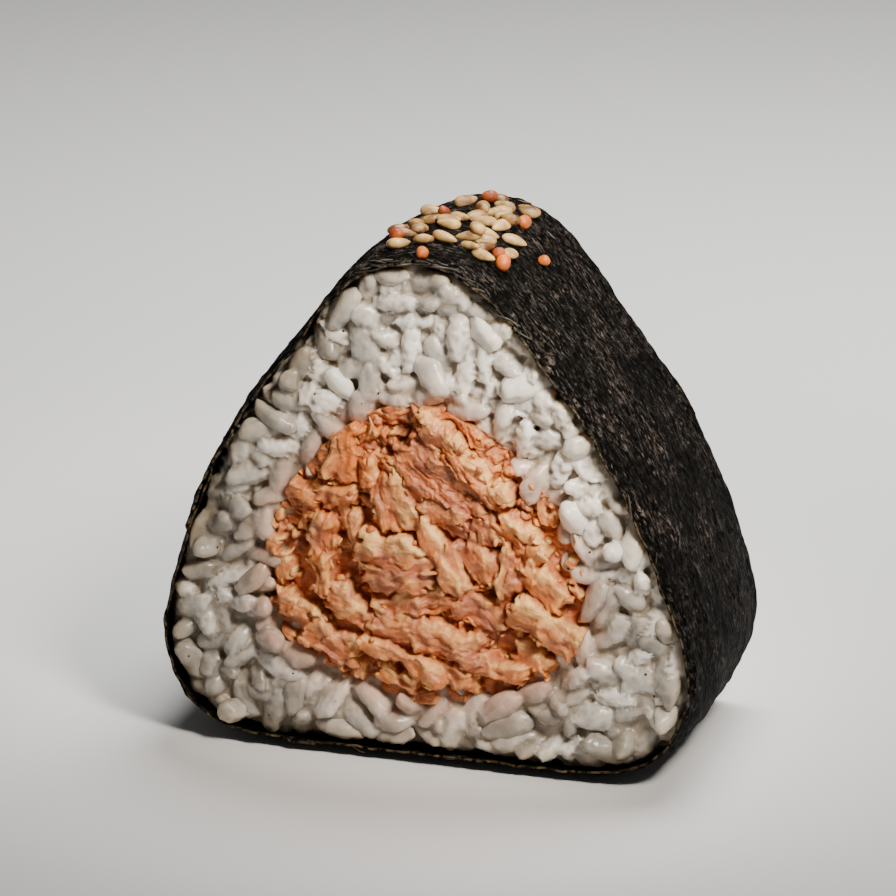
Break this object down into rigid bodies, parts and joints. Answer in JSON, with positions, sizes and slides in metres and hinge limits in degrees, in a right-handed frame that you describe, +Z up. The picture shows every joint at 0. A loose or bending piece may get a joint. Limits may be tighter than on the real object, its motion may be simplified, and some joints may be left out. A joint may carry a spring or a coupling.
{
  "type": "salmon onigiri rice ball",
  "caption": "Rounded triangular rice ball with a flaked salmon filling showing in its faces, wrapped round its three sides in a nori band.",
  "frame": {"origin": "middle of the flat base the onigiri stands on", "axes": "+Z up, X across the triangular faces, +Y from the front face to the back face"},
  "size_m": [0.082, 0.0406, 0.0765],
  "materials": {
    "rice": "cooked short-grain rice, moist and slightly translucent",
    "salmon": "cooked flaked salmon, moist",
    "nori": "toasted seaweed sheet, fibrous with a faint sheen",
    "sesame": "toasted sesame seeds",
    "toasted_beads": "small round toasted orange-brown beads"
  },
  "bodies": {
    "root": {"rice": "rice", "salmon_filling": "salmon", "nori": "nori"}
  },
  "joints": []
}
